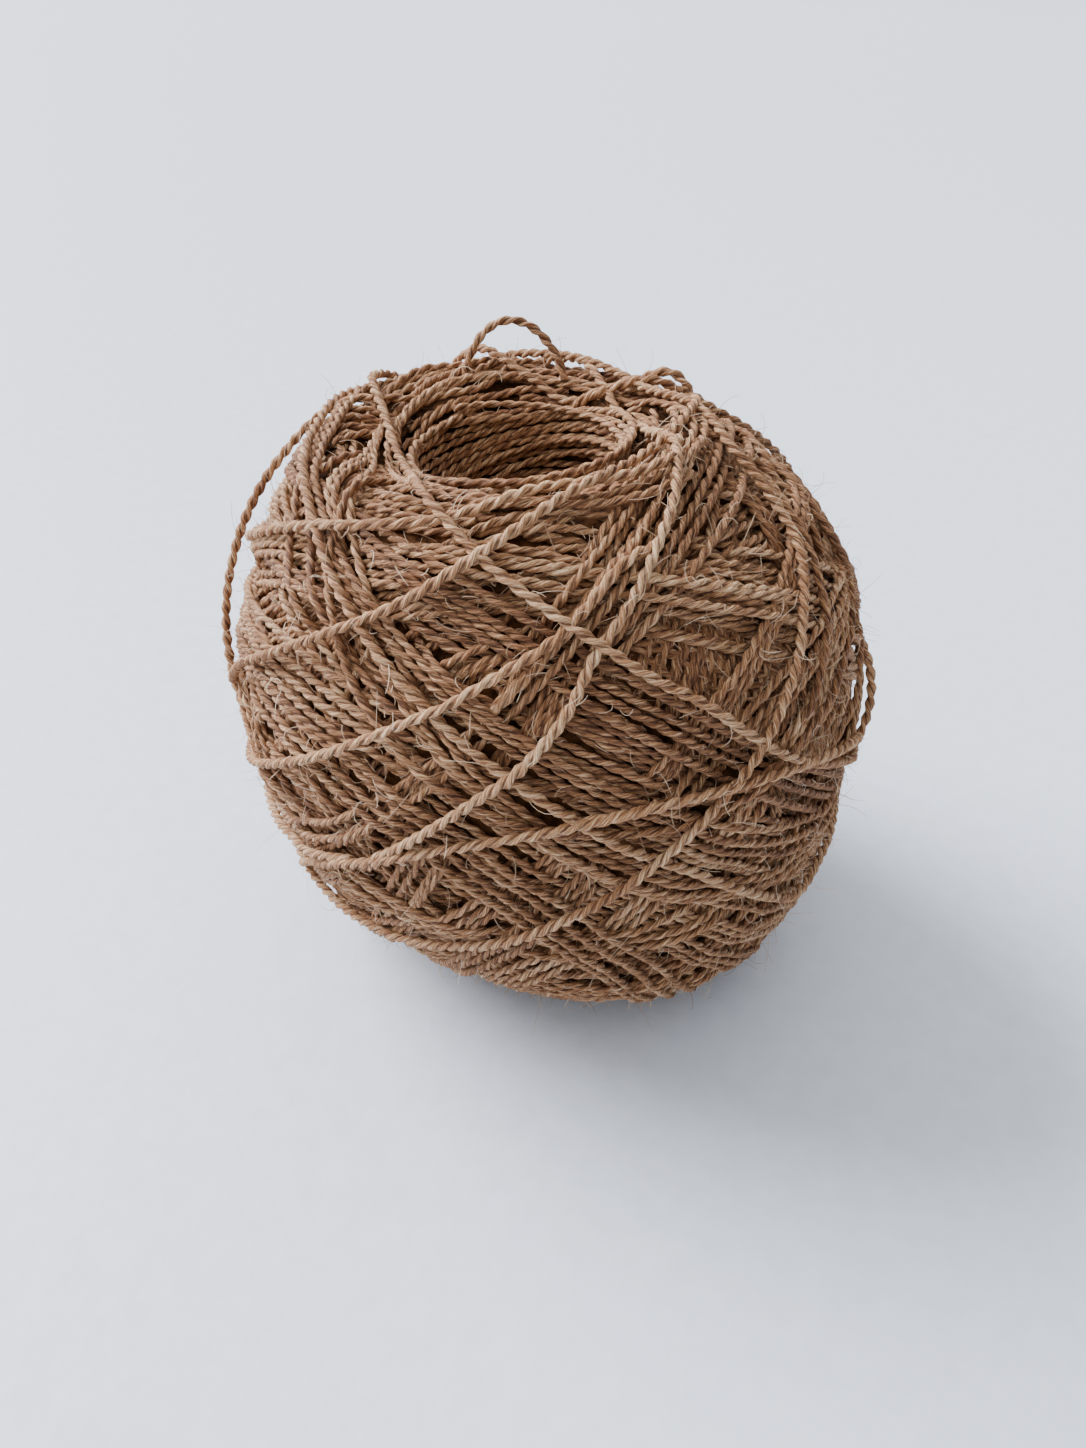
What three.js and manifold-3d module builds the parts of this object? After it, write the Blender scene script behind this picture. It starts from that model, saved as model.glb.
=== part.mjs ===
// Centre-pull ball of two-ply fingering yarn, wound round a leaning middle with an
// open well at the top. One solid: the wound body with the relief of its bands,
// the loose outermost turns and the slack loops that stand off it.
// Millimetres, +Z up, origin under the middle of the ball on its flat spot.
import * as THREE from 'three';
import Module from 'manifold-3d';
import { mergeVertices } from 'three/addons/utils/BufferGeometryUtils.js';

// The strand of yarn
const STRAND_DIAMETER = 1.2;
const STRAND_SIDES = 4;
const STRAND_STEP = 12;
const LOOP_STEP = 3;

// How the ball stands
const LEAN_LEFT_DEG = 7;
const LEAN_FORWARD_DEG = 1;
// Foot of the middle line from the origin; its depth below the sill cuts the flat spot
const STANDS_AT = { x: 5.03, y: 0.68, z: -1.95 };

// Wound body, one row per section: height up the leaning middle line, radius to
// the outside of the bands, and shift of the section to the right
const BODY_SECTIONS = [
  { up: 0.0, radius: 13.0, shift: 7.0 },
  { up: 1.5, radius: 22.5, shift: 7.0 },
  { up: 6.0, radius: 31.5, shift: 5.0 },
  { up: 14.0, radius: 37.6, shift: 2.8 },
  { up: 26.0, radius: 41.0, shift: 1.5 },
  { up: 40.0, radius: 42.8, shift: 1.1 },
  { up: 54.0, radius: 42.0, shift: 0.8 },
  { up: 65.0, radius: 38.0, shift: 0.4 },
  { up: 74.0, radius: 31.0, shift: -1.0 },
  { up: 80.0, radius: 23.5, shift: -2.4 },
  { up: 81.0, radius: 17.5, shift: -1.6 },
];

// Well down the middle, from its lip to its floor
const WELL_SECTIONS = [
  { up: 79.4, radius: 15.0, shift: -1.4 },
  { up: 75.0, radius: 14.0, shift: -1.2 },
  { up: 62.0, radius: 12.8, shift: -0.6 },
  { up: 46.0, radius: 11.6, shift: 0.0 },
  { up: 33.0, radius: 10.2, shift: 0.4 },
  { up: 28.5, radius: 6.0, shift: 0.6 },
];
const WELL_FLOOR = { up: 27.5, shift: 0.7 };

// The middle that every turn of yarn is wound round
const WINDING_MIDDLE = 42;

// Bands of laid turns, one row per band: where its pole stands round the ball
// (0 front, 90 right), how far the pole leans from the top, and how far from the
// pole the band runs, all in degrees
const BANDS = [
  { around: 95, lean: 38, reach: 82 },
  { around: -48, lean: 44, reach: 82 },
  { around: 8, lean: 46, reach: 72 },
  { around: -104, lean: 38, reach: 82 },
  { around: 148, lean: 40, reach: 74 },
  { around: -152, lean: 42, reach: 84 },
  { around: 52, lean: 36, reach: 92 },
  { around: 176, lean: 44, reach: 88 },
  { around: -60, lean: 140, reach: 66 },
  { around: 60, lean: 140, reach: 68 },
  { around: 180, lean: 140, reach: 66 },
];
const BAND_WIDTH = 9.5;
const BAND_RELIEF = 0.55;
const MOST_RELIEF = 1.3;

// Outermost turns, laid last and singly, given as the bands are
const OUTER_TURNS = [
  { around: -117, lean: 31, reach: 57 },
  { around: 106, lean: 40, reach: 63.5 },
  { around: -41, lean: 44, reach: 71 },
  { around: 85, lean: 36, reach: 71 },
  { around: -72, lean: 40, reach: 61 },
  { around: -116, lean: 29, reach: 70 },
  { around: 160, lean: 62, reach: 40 },
  { around: 20, lean: 142, reach: 66 },
];
const TURN_LIFT = 0.15;

// Slack loops that stand off the ball: the turn each lies on, the stretch of it
// in degrees from the turn's lowest point, and how high it rises
const SLACK_LOOPS = [
  { name: 'left', around: 4, lean: 59, reach: 77, from: 200, to: 280, rise: 4.0 },
  { name: 'right', around: 4, lean: 56, reach: 75, from: 70, to: 96, rise: 3.2 },
  { name: 'back', around: 0, lean: 56, reach: 80, from: 174, to: 193, rise: 8.0 },
  { name: 'rim', around: 0, lean: 56, reach: 77, from: 149, to: 160, rise: 3.0 },
];

// How square a slack loop's rise is: under 1 it stands up quickly at both ends
const SLACK_FULLNESS = 0.7;

// Fineness of the body's surface
const AROUND_STEPS = 54;
const OUTER_RINGS = 20;
const WELL_RINGS = 6;
const FINEST_DETAIL = 0.1;
const WELD_DISTANCE = 0.001;

const wasm = await Module();
wasm.setup();

function toRadians(degrees) {
  return (degrees * Math.PI) / 180;
}

// Smooth line through the sections of a profile
function profileLine(sections, count) {
  const points = sections.map((s) => new THREE.Vector3(s.radius, s.up, s.shift));
  const curve = new THREE.CatmullRomCurve3(points, false, 'centripetal');
  return curve.getSpacedPoints(count - 1).map((p) => {
    return { radius: p.x, up: p.y, shift: p.z };
  });
}

const FINE_PROFILE = profileLine(BODY_SECTIONS, 300);

// Outline at one height up the middle line, read off the fine profile
function sectionAt(up) {
  const fine = FINE_PROFILE;
  if (up <= fine[0].up || up >= fine[fine.length - 1].up) return null;
  let low = 0;
  let high = fine.length - 1;
  while (high - low > 1) {
    const middle = Math.floor((low + high) / 2);
    if (fine[middle].up <= up) low = middle;
    else high = middle;
  }
  const part = (up - fine[low].up) / (fine[high].up - fine[low].up);
  return {
    radius: THREE.MathUtils.lerp(fine[low].radius, fine[high].radius, part),
    shift: THREE.MathUtils.lerp(fine[low].shift, fine[high].shift, part),
  };
}

// Distance from the winding middle to the body's outside, along a direction
function reachAlong(direction) {
  let low = 5;
  let high = 60;
  for (let k = 0; k < 30; k += 1) {
    const t = (low + high) / 2;
    const section = sectionAt(WINDING_MIDDLE + t * direction.z);
    const across = section
      ? Math.hypot(t * direction.x - section.shift, t * direction.y) - section.radius
      : 1;
    if (across < 0) low = t;
    else high = t;
  }
  return (low + high) / 2;
}

// Three unit vectors of a turn: its pole, towards its lowest point, and sideways
function turnAxes(turn) {
  const a = toRadians(turn.around);
  const l = toRadians(turn.lean);
  const pole = new THREE.Vector3(
    Math.sin(l) * Math.sin(a),
    -Math.sin(l) * Math.cos(a),
    Math.cos(l),
  );
  const lowest = new THREE.Vector3(
    Math.cos(l) * Math.sin(a),
    -Math.cos(l) * Math.cos(a),
    -Math.sin(l),
  );
  return { pole, lowest, side: new THREE.Vector3().crossVectors(pole, lowest) };
}

function turnDirection(axes, reach, angle) {
  const r = toRadians(reach);
  return new THREE.Vector3()
    .addScaledVector(axes.pole, Math.cos(r))
    .addScaledVector(axes.lowest, Math.sin(r) * Math.cos(angle))
    .addScaledVector(axes.side, Math.sin(r) * Math.sin(angle));
}

const BAND_AXES = BANDS.map((band) => turnAxes(band).pole);

// Height of the laid bands over the hollows between them, at a direction
function bandRelief(direction) {
  const half = BAND_WIDTH / 2 / 42;
  let height = 0;
  BANDS.forEach((band, k) => {
    const from = Math.abs(direction.angleTo(BAND_AXES[k]) - toRadians(band.reach));
    const inside = 1 - THREE.MathUtils.smoothstep(from, half * 0.62, half * 1.38);
    height += BAND_RELIEF * inside;
  });
  return Math.min(height, MOST_RELIEF) - MOST_RELIEF * 0.7;
}

// A closed surface from rings of points with a point at each end
function closedRings(rings, first, last) {
  const count = rings[0].length;
  const points = [first, ...rings.flat(), last];
  const index = [];
  const at = (ring, k) => 1 + ring * count + (k % count);
  const end = points.length - 1;
  for (let k = 0; k < count; k += 1) {
    index.push(0, at(0, k + 1), at(0, k));
    index.push(end, at(rings.length - 1, k), at(rings.length - 1, k + 1));
  }
  for (let r = 0; r + 1 < rings.length; r += 1) {
    for (let k = 0; k < count; k += 1) {
      index.push(at(r, k), at(r, k + 1), at(r + 1, k));
      index.push(at(r, k + 1), at(r + 1, k + 1), at(r + 1, k));
    }
  }
  return solidFrom(points, index);
}

// A closed hoop from rings of points that follow each other round
function closedHoop(rings) {
  const count = rings[0].length;
  const index = [];
  const at = (ring, k) => (ring % rings.length) * count + (k % count);
  for (let r = 0; r < rings.length; r += 1) {
    for (let k = 0; k < count; k += 1) {
      index.push(at(r, k), at(r, k + 1), at(r + 1, k));
      index.push(at(r, k + 1), at(r + 1, k + 1), at(r + 1, k));
    }
  }
  return solidFrom(rings.flat(), index);
}

function solidFrom(points, index) {
  const geometry = new THREE.BufferGeometry().setFromPoints(points);
  geometry.setIndex(index);
  return solidOf(geometry);
}

function solidOf(geometry) {
  geometry.deleteAttribute('normal');
  geometry.deleteAttribute('uv');
  const merged = mergeVertices(geometry, WELD_DISTANCE);
  const mesh = new wasm.Mesh({
    numProp: 3,
    vertProperties: new Float32Array(merged.attributes.position.array),
    triVerts: new Uint32Array(merged.index.array),
  });
  return new wasm.Manifold(mesh);
}

// Ring of the body round its middle line; the outside carries the band relief
function bodyRing(section, outside) {
  const ring = [];
  for (let k = 0; k < AROUND_STEPS; k += 1) {
    const a = (k / AROUND_STEPS) * Math.PI * 2;
    const point = new THREE.Vector3(
      section.shift + section.radius * Math.cos(a),
      section.radius * Math.sin(a),
      section.up,
    );
    if (outside) {
      const direction = point.clone();
      direction.z -= WINDING_MIDDLE;
      const distance = direction.length();
      direction.normalize();
      const height = distance + bandRelief(direction);
      point.copy(direction).multiplyScalar(height);
      point.z += WINDING_MIDDLE;
    }
    ring.push(point);
  }
  return ring;
}

function woundBody() {
  const outer = profileLine(BODY_SECTIONS, OUTER_RINGS).map((s) => bodyRing(s, true));
  const well = profileLine(WELL_SECTIONS, WELL_RINGS).map((s) => bodyRing(s, false));
  const under = new THREE.Vector3(BODY_SECTIONS[0].shift, 0, BODY_SECTIONS[0].up - 0.3);
  const floor = new THREE.Vector3(WELL_FLOOR.shift, 0, WELL_FLOOR.up);
  return closedRings([...outer, ...well], under, floor);
}

// Rings round a strand that runs through the given middles and outward directions
function strandRings(middles, outwards, closed) {
  const last = middles.length - 1;
  return middles.map((middle, k) => {
    const before = closed ? middles[(k + last) % (last + 1)] : middles[Math.max(k - 1, 0)];
    const after = closed ? middles[(k + 1) % (last + 1)] : middles[Math.min(k + 1, last)];
    const along = after.clone().sub(before).normalize();
    const across = new THREE.Vector3().crossVectors(along, outwards[k]).normalize();
    const out = new THREE.Vector3().crossVectors(across, along);
    const ring = [];
    for (let s = 0; s < STRAND_SIDES; s += 1) {
      const a = (s / STRAND_SIDES) * Math.PI * 2;
      ring.push(
        middle
          .clone()
          .addScaledVector(out, (Math.cos(a) * STRAND_DIAMETER) / 2)
          .addScaledVector(across, (Math.sin(a) * STRAND_DIAMETER) / 2),
      );
    }
    return ring;
  });
}

// A point over the laid bands, as high as lift
function onBall(direction, lift) {
  const outside = reachAlong(direction) + bandRelief(direction);
  const point = direction.clone().multiplyScalar(outside + lift);
  point.z += WINDING_MIDDLE;
  return point;
}

function outerTurn(turn) {
  const axes = turnAxes(turn);
  const length = 2 * Math.PI * 42 * Math.sin(toRadians(turn.reach));
  const steps = Math.round(length / STRAND_STEP);
  const outwards = [];
  for (let k = 0; k < steps; k += 1) {
    outwards.push(turnDirection(axes, turn.reach, (k / steps) * Math.PI * 2));
  }
  const middles = outwards.map((d) => onBall(d, TURN_LIFT));
  return closedHoop(strandRings(middles, outwards, true));
}

// A slack loop leaves the ball and comes back, both ends under the other turns
function slackLoop(loop) {
  const axes = turnAxes(loop);
  const span = toRadians(loop.to - loop.from);
  const steps = Math.max(8, Math.round((42 * span) / LOOP_STEP));
  const outwards = [];
  const middles = [];
  for (let k = 0; k <= steps; k += 1) {
    const part = k / steps;
    const angle = toRadians(loop.from) + span * part;
    const direction = turnDirection(axes, loop.reach, angle);
    const rise = loop.rise * Math.sin(Math.PI * part) ** SLACK_FULLNESS;
    outwards.push(direction);
    middles.push(onBall(direction, rise - STRAND_DIAMETER));
  }
  const rings = strandRings(middles, outwards, false);
  return closedRings(rings, middles[0], middles[middles.length - 1]);
}

function standUpright(solid) {
  const lean = new THREE.Matrix4().makeRotationX(toRadians(LEAN_FORWARD_DEG));
  lean.multiply(new THREE.Matrix4().makeRotationY(-toRadians(LEAN_LEFT_DEG)));
  return solid.transform(lean.elements);
}

// The ball alone, with any bubble closed in between crossing strands filled
function largestOf(solid) {
  const shells = solid.decompose();
  shells.sort((one, other) => other.volume() - one.volume());
  return shells[0];
}

function buildBall() {
  let ball = woundBody();
  OUTER_TURNS.forEach((turn) => {
    ball = ball.add(outerTurn(turn));
  });
  SLACK_LOOPS.forEach((loop) => {
    ball = ball.add(slackLoop(loop));
  });
  ball = standUpright(ball).translate([STANDS_AT.x, STANDS_AT.y, STANDS_AT.z]);
  const sill = new THREE.BoxGeometry(120, 120, 20).translate(0, 0, -10);
  ball = largestOf(ball.subtract(solidOf(sill)).simplify(FINEST_DETAIL));
  return largestOf(solidOf(toGeometry(ball)));
}

function toGeometry(solid) {
  const mesh = solid.getMesh();
  const geometry = new THREE.BufferGeometry();
  geometry.setAttribute('position', new THREE.BufferAttribute(mesh.vertProperties, 3));
  geometry.setIndex(new THREE.BufferAttribute(mesh.triVerts, 1));
  geometry.computeVertexNormals();
  return geometry;
}

const yarn = new THREE.MeshStandardMaterial({
  color: new THREE.Color('#b98d68'),
  roughness: 0.92,
  metalness: 0,
});

const ball = new THREE.Mesh(toGeometry(buildBall()), yarn);
ball.name = 'wound_ball';

const group = new THREE.Group();
group.name = 'yarn_ball';
group.add(ball);

export default group;
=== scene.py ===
"""Centre-pull ball of two-ply fingering yarn standing on a pale sill.

The ball is wound turn by turn. Each turn of yarn is a small circle about a leaning
pole, seen from the winding middle, and it rides over the turns laid before it. Sizes
in the tables are millimetres and degrees, in the frame of the ball's own leaning
middle line. In that frame a pole stands at an angle round the ball from the viewer's
side, positive to the right, and leans away from the middle line. A turn's reach is
its angle from its pole.
"""

import math
from collections import namedtuple

import bpy
import numpy as np
from bpy.props import FloatProperty, FloatVectorProperty, IntProperty, PointerProperty
from mathutils import Matrix, Vector


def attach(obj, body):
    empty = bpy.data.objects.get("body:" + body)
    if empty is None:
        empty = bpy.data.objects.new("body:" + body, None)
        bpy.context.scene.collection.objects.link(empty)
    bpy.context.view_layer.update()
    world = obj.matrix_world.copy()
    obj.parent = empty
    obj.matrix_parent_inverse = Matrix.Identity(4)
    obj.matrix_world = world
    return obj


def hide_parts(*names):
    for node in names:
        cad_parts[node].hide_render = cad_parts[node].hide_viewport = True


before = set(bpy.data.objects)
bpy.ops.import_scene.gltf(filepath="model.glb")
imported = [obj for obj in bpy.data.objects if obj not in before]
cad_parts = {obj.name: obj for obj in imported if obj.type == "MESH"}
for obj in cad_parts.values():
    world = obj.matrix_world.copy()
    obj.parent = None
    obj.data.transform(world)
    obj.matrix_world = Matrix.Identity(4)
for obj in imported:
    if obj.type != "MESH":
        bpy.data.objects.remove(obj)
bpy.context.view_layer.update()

bl_info = {
    "name": "Ball of fingering yarn",
    "version": (1, 0, 0),
    "blender": (4, 5, 0),
    "location": "3D View > Sidebar > Yarn",
    "description": "Winds a centre-pull ball of two-ply yarn and sets it on a sill",
    "category": "Object",
}

MM = 0.001

# How the ball stands: it leans to the left and a little forward
LEAN_LEFT_DEG = 7
LEAN_FORWARD_DEG = 1
STANDS_AT = (5.03, 0.68, -1.95)

# Sections of the wound body and of its well: height up the middle line, radius
# and shift to the right
Section = namedtuple("Section", "up radius shift")
BODY_SECTIONS = [Section(*row) for row in (
    (0.0, 13.0, 7.0), (1.5, 22.5, 7.0), (6.0, 31.5, 5.0), (14.0, 37.6, 2.8),
    (26.0, 41.0, 1.5), (40.0, 42.8, 1.1), (54.0, 42.0, 0.8), (65.0, 38.0, 0.4),
    (74.0, 31.0, -1.0), (80.0, 23.5, -2.4), (81.0, 17.5, -1.6),
)]
WELL_SECTIONS = [Section(*row) for row in (
    (79.4, 15.0, -1.4), (75.0, 14.0, -1.2), (62.0, 12.8, -0.6), (46.0, 11.6, 0.0),
    (33.0, 10.2, 0.4), (28.5, 6.0, 0.6),
)]
WELL_FLOOR_UP = 27.5

# How high the winding middle lies, and the mean way from it to the outside
WINDING_MIDDLE = 42
MEAN_REACH = 42

# The camera that took the photograph, in millimetres and degrees
CAMERA_AT = (0.21, -123.42, 122.62)
CAMERA_DOWN_DEG = 36.6
CAMERA_ROLL_DEG = 4.2
CAMERA_LENS_MM = 25.04
CAMERA_SENSOR_MM = 36.0
PHOTO_WIDTH = 1086
PHOTO_HEIGHT = 1448

# Layers of bands, deepest first. A band is a few parallel turns about one leaning
# pole. Its pole steps round the ball by the same angle each time, and leans by an
# amount between the two given. It passes the near end of the ball at a distance
# between the two rims given, in degrees from the middle line. The gap is the distance
# between its turns
Layer = namedtuple(
    "Layer", "group bands turns lean_least lean_most rim_least rim_most gap"
)
LAYERS = [
    Layer("under", 9, 10, 16, 40, 10, 34, 1.3),
    Layer("deep", 14, 11, 34, 58, 25, 40, 1.3),
    Layer("under", 6, 6, 22, 42, 20, 40, 1.32),
    Layer("deep", 14, 6, 30, 52, 25, 38, 1.32),
    Layer("middle", 16, 4, 32, 52, 25, 40, 1.34),
    Layer("under", 5, 4, 20, 40, 20, 46, 1.34),
]
BAND_STEP_DEG = 137.5
BAND_STEP_VARIES_DEG = 9
LAST_GAP = 1.34

# Bands of the last layer, placed as they lie in the photograph
Band = namedtuple("Band", "around lean reach turns")
LAST_BANDS = [Band(*row) for row in (
    (130, 44, 88, 4), (-140, 36, 80, 3), (-60, 140, 62, 3), (150, 138, 66, 3),
    (18, 2.5, 23, 4), (-60, 4, 30, 3), (-120, 5, 27, 3), (100, 6, 25, 3),
    (-1, 57, 67, 3), (14, 52, 67, 3), (26, 38, 86, 4), (7.5, 73, 39, 3),
    (-94, 74, 37, 3), (4, 49, 44, 3), (-177, 41, 83, 5), (175, 47, 87, 4),
    (-107, 61.5, 90, 4), (95, 44, 88, 3), (159, 33.5, 76, 5), (-92, 42, 92, 3),
    (127, 38.5, 88, 3), (-100, 44, 80, 3), (112, 42, 104, 3), (166, 34, 74, 3),
    (-84, 42, 104, 3), (7, 32, 75, 3), (-110, 48, 112, 3), (127, 38.5, 98.7, 4),
    (-98, 42, 71, 2), (122, 40, 77, 4), (33, 29, 49, 2), (-90, 39, 65.6, 2),
    (121, 50, 117, 4), (65, 42, 64, 3), (85, 36, 68.6, 3), (103, 64, 19, 3),
    (19, 42, 39.5, 1), (40, 4, 27, 2),
)]

# Single turns laid last, in the order they were laid. Where a turn shows in the
# photograph, it passes through the photograph's points (across, down). Before and
# after are how far it goes on past them, in degrees, before it dives under others
Turn = namedtuple("Turn", "around lean reach before after seen")
OUTER_TURNS = [
    # Falls at the left
    Turn(85, 36, 71, 180, 180, [
        (315, 500), (325, 540), (345, 590), (375, 645), (410, 690), (440, 720),
        (475, 752), (510, 778), (545, 800), (590, 828), (640, 855), (690, 870),
        (740, 885), (790, 890),
    ]),
    # Rises low down
    Turn(-116, 29, 70, 9, 180, [
        (620, 565), (600, 590), (570, 630), (545, 650), (510, 670), (480, 687),
        (450, 707), (420, 717), (390, 730), (350, 745), (320, 755), (290, 760),
        (262, 757),
    ]),
    # Rises to the right
    Turn(-72, 40, 61, 180, 180, [
        (672, 475), (670, 505), (657, 540), (640, 580), (625, 610), (610, 635),
        (592, 655), (582, 680), (567, 715), (550, 735), (525, 765), (505, 780),
        (470, 802), (435, 825), (400, 845), (375, 857),
    ]),
    # Level, under the rim
    Turn(-141, 19, 46, 40, 6, [
        (258, 540), (290, 532), (330, 530), (380, 530), (430, 525), (465, 515),
        (500, 507), (540, 492), (580, 485), (620, 480), (660, 470),
    ]),
    # Falls across the whole front
    Turn(106, 40, 63.5, 180, 180, [
        (377, 385), (382, 405), (392, 442), (405, 465), (420, 490), (435, 510),
        (452, 527), (470, 550), (490, 570), (520, 592), (550, 615), (580, 635),
        (615, 657), (640, 675), (665, 687), (700, 702), (730, 725), (755, 740),
        (775, 752), (800, 760), (830, 760),
    ]),
    # Sweeps round the right side
    Turn(-41, 44, 71, 180, 180, [
        (720, 450), (750, 480), (775, 515), (792, 550), (795, 590), (792, 630),
        (785, 670), (772, 705), (757, 740), (735, 775), (710, 802), (685, 830),
        (650, 860), (615, 885), (580, 905), (545, 922), (510, 937), (470, 947),
        (430, 950), (390, 937),
    ]),
    # Rises across the whole front
    Turn(-117, 31, 57, 180, 180, [
        (228, 680), (250, 662), (292, 650), (335, 635), (375, 620), (415, 602),
        (450, 580), (485, 557), (520, 532), (550, 510), (585, 490), (625, 467),
        (650, 450), (675, 430), (690, 412),
    ]),
    # Guessed, across the back
    Turn(160, 62, 40, 180, 180, []),
    # Guessed, low down
    Turn(20, 142, 66, 180, 180, []),
]
TURN_OVERLAP_DEG = 12
TURN_MARGIN_DEG = 35

# Slack loops that stand off the ball: the stretch of the turn each lies on and
# how high it rises. The lower the power of its rise, the fuller the loop
Loop = namedtuple("Loop", "around lean reach start stop rise")
# At the left, at the right, at the back and on the rim
SLACK_LOOPS = [
    Loop(4, 59, 77, 200, 280, 4.0),
    Loop(4, 56, 75, 70, 96, 3.2),
    Loop(0, 56, 80, 174, 193, 8.0),
    Loop(0, 56, 77, 149, 160, 3.0),
]
SLACK_POWER = 0.7

# How the yarn settles: a band bends down between its supports to the smaller
# radius, a single taut turn to the larger one. Crossing strands press together to
# these shares of their thickness. A strand's free end dives under the others
BAND_SAG_RADIUS = 13.0
TURN_SAG_RADIUS = 24.0
BAND_SQUASH = 0.52
TURN_SQUASH = 0.75
END_DIVE = 1.3
END_LENGTH = 4.0
ANGLE_STEP_DEG = 0.7
PATH_STEP = 0.5

# The pile of laid yarn is kept on a cube of this many cells along an edge, and an
# empty cell starts this far under the body
PILE_CELLS = 300
PILE_START = -5.0

# How the pile is pressed once it is wound: where a strand of mean height lies, how
# far others may stand over it or lie under it, how soon that is reached, and how
# much higher and thicker the single turns are
MEAN_TOP = -0.15
PILE_RISE = 1.7
PILE_DEPTH = 1.5
PILE_SOFTNESS = 1.7
OUTER_LIFT = 0.5
OUTER_GIRTH = 1.15

# The pile's slow rise is read on a grid of this many degrees
SLOW_GRID_DEG = 3
SLOW_ROWS = 180 // SLOW_GRID_DEG
SLOW_COLUMNS = 360 // SLOW_GRID_DEG

# What is left out: samples this far under later turns, and runs of this many samples
# or fewer
BURIED_UNDER = 0.25
SHORT_RUN = 8
SHORT_DEEP_RUN = 13

# How far below the outside of the bands the middle lies
CORE_DEPTH = 2.3

# Share of its radius that a strand keeps under its middle line on the sill
RESTING_SHARE = 0.9

# Where the ball stands out of its even body or lies in it: the direction from the
# winding middle, how wide in degrees, and how far. At its lip it rolls in
Swell = namedtuple("Swell", "x y z wide rise")
SWELLS = [
    Swell(-0.30, 0.42, 0.86, 18, 2.1),
    Swell(0.50, 0.30, 0.81, 14, -1.0),
    Swell(-0.26, -0.72, -0.64, 25, -2.7),
]
LIP_DROP = 4.5
LIP_FROM_DEG = 20
LIP_TO_DEG = 31

# Where the well opens: its middle, how far from it the turns begin, and how much
# that varies from band to band
WELL_MOUTH = (-1.4, 0.0, 80.5)
WELL_CLEAR_DEG = 20.5
WELL_CLEAR_VARIES_DEG = 2.5
MOUTH_ASIDE = 0.026
TURN_CLEAR_DEG = 20.0

# The turns that line the well: a close layer and a few looser ones over it, from the
# top down, and the loops on its floor
Lining = namedtuple("Lining", "spacing slope inward")
WELL_LININGS = [Lining(1.18, 0.16, 0.2), Lining(4.2, 0.3, 0.9)]
LINING_TOP = 79.0
LINING_BOTTOM = 29.5
FLOOR_LOOPS = 9

# How finely the strands are drawn: points in one turn of the twist, points round the
# section, and how much thicker than real, which closes the deeper layers
Drawing = namedtuple("Drawing", "group steps sides girth")
BAND_DRAWINGS = [
    Drawing("under", 5, 6, 1.1),
    Drawing("deep", 5, 6, 1.1),
    Drawing("middle", 5, 6, 1.1),
    Drawing("last", 5, 8, 1.0),
]
WELL_DRAWING = Drawing("well", 5, 6, 1.0)
OUTER_DRAWING = Drawing("outer", 7, 8, OUTER_GIRTH)
LOOP_DRAWING = Drawing("loop", 8, 8, OUTER_GIRTH)
MOST_TRIANGLES = 185000

# Section of the strand: two plies that touch, as shares of the strand's diameter
PLY_RADIUS = 0.29
PLY_OFFSET = 0.21

# Tones of the strands, from dark to light
BAND_TONES = (0.2, 0.75)
OUTER_TONES = (0.6, 0.9)
WELL_TONES = (0.3, 0.7)
LOOP_TONE = 0.5

# Loose fibres: they are drawn thicker than real ones, so that they show
HAIR_RADIUS = 0.042
LONG_HAIR = 2.0

# The sill in metres: flat out to the first distance, and rising a little from there
# to the second, so that its far edge stays out of the picture
SILL_FLAT = 20.0
SILL_REACH = 40.0
SILL_RISE = 1.2

# The way to the window, how wide it seems, and how much light the room gives on the
# side away from the window and towards it
WINDOW_WAY = (-0.74, 0.36, 0.57)
WINDOW_WIDE_DEG = 42
ROOM_LEAST = 0.12
ROOM_MOST = 2.15

WINDING_SEED = 5
HAIR_SEED = 11
WELL_SEED = 21
BAND_SEED = 31
OUTER_SEED = 35
LOOP_SEED = 41


def linear(hex_colour):
    """sRGB hex to the linear values that the sockets take."""
    parts = np.array([int(hex_colour[k : k + 2], 16) / 255 for k in (1, 3, 5)])
    values = np.where(parts <= 0.04045, parts / 12.92, ((parts + 0.055) / 1.055) ** 2.4)
    return (*values.tolist(), 1.0)


# Settings


class YarnSettings(bpy.types.PropertyGroup):
    """Sizes and colours of the yarn"""

    diameter: FloatProperty(
        name="Strand diameter", description="Thickness of the two plies together",
        default=1.2 * MM, min=0.0005, precision=5, unit="LENGTH",
    )
    pitch: FloatProperty(
        name="Twist", description="Length of one full turn of the twist",
        default=4.2 * MM, min=0.001, precision=5, unit="LENGTH",
    )
    hairs: IntProperty(
        name="Loose fibres", description="How many fibres stand out of the yarn",
        default=6000, min=0,
    )
    dark: FloatVectorProperty(
        name="Dark fibre", description="Colour of the darkest fibres",
        default=linear("#482814")[:3], min=0, max=1, subtype="COLOR",
    )
    light: FloatVectorProperty(
        name="Light fibre", description="Colour of the lightest fibres",
        default=linear("#f6d0a3")[:3], min=0, max=1, subtype="COLOR",
    )
    # Colour of the painted shade where the plies meet
    painted_crease_shade: FloatVectorProperty(
        name="Crease", description="What darkens the yarn where its plies meet",
        default=linear("#6b402a")[:3], min=0, max=1, subtype="COLOR",
    )


class SillSettings(bpy.types.PropertyGroup):
    """The pale sill and its light"""

    window: FloatProperty(
        name="Window light", description="Strength of the soft light from behind left",
        default=9.0, min=0,
    )
    paint: FloatVectorProperty(
        name="Paint", description="Colour of the paint",
        default=linear("#dae1ec")[:3], min=0, max=1, subtype="COLOR",
    )


# Lines and paths


def unit(rows):
    """Each row, or the only one, made one long."""
    rows = np.array(rows, float)
    return rows / np.linalg.norm(rows, axis=-1, keepdims=True)


def lengths_along(points):
    """Distance along a line to each of its points."""
    steps = np.linalg.norm(np.diff(points, axis=0), axis=1)
    return np.concatenate([[0], np.cumsum(steps)])


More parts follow.
